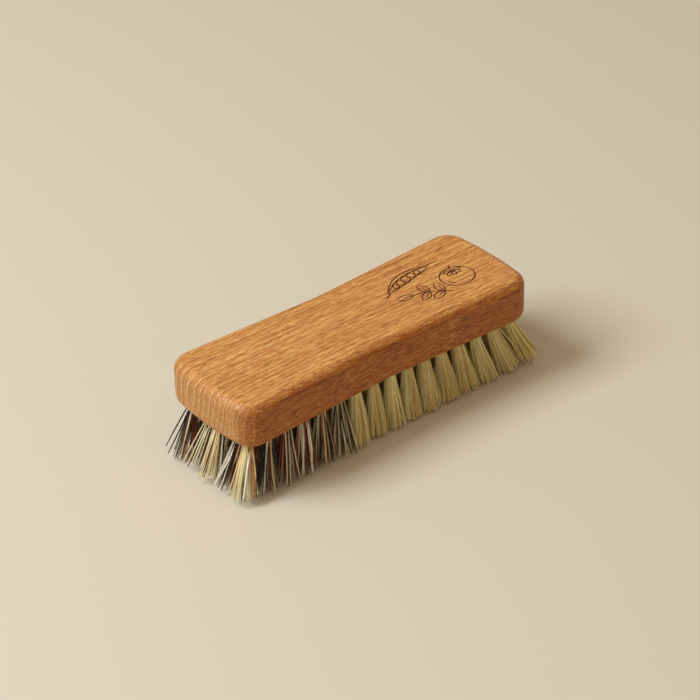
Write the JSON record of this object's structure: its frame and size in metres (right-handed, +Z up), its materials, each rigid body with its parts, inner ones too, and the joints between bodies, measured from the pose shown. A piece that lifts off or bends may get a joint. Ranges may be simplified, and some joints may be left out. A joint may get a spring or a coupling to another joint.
{
  "type": "vegetable brush",
  "caption": "Hand scrubbing brush for vegetables: a waisted, rounded hardwood block with stiff mixed-fibre tufts at one end and softer pale fibre tufts along the rest.",
  "frame": {"origin": "on the plane of the bristle tips, under the middle of the block", "axes": "+X along the block, from the stiff fibre end to the soft fibre end; +Y across it; +Z up, from the bristle tips to the palm face"},
  "size_m": [0.1443, 0.0466, 0.0408],
  "materials": {
    "oiled_beech": "oiled beech with a satin sheen, grain along the block and fine dark flecks",
    "union_fibre": "coarse natural fibre mixed from cream, straw, rust brown and near-black strands",
    "tampico_fibre": "fine natural fibre, pale straw yellow, matt with a slight sheen",
    "anchor_wire": "flat drawn steel wire"
  },
  "bodies": {
    "root": {"block": "oiled_beech", "union_tufts_01": "union_fibre", "union_tufts_02": "union_fibre", "union_tufts_03": "union_fibre", "union_tufts_04": "union_fibre", "union_tufts_05": "union_fibre", "union_tufts_06": "union_fibre", "tampico_tufts_07": "tampico_fibre", "tampico_tufts_08": "tampico_fibre", "tampico_tufts_09": "tampico_fibre", "tampico_tufts_10": "tampico_fibre", "tampico_tufts_11": "tampico_fibre", "tampico_tufts_12": "tampico_fibre", "tampico_tufts_13": "tampico_fibre", "tampico_tufts_14": "tampico_fibre", "tampico_tufts_15": "tampico_fibre", "tampico_tufts_16": "tampico_fibre", "anchor_wires_01": "anchor_wire", "anchor_wires_02": "anchor_wire", "anchor_wires_03": "anchor_wire", "anchor_wires_04": "anchor_wire", "anchor_wires_05": "anchor_wire", "anchor_wires_06": "anchor_wire", "anchor_wires_07": "anchor_wire", "anchor_wires_08": "anchor_wire", "anchor_wires_09": "anchor_wire", "anchor_wires_10": "anchor_wire", "anchor_wires_11": "anchor_wire", "anchor_wires_12": "anchor_wire", "anchor_wires_13": "anchor_wire", "anchor_wires_14": "anchor_wire", "anchor_wires_15": "anchor_wire", "anchor_wires_16": "anchor_wire"}
  },
  "joints": []
}
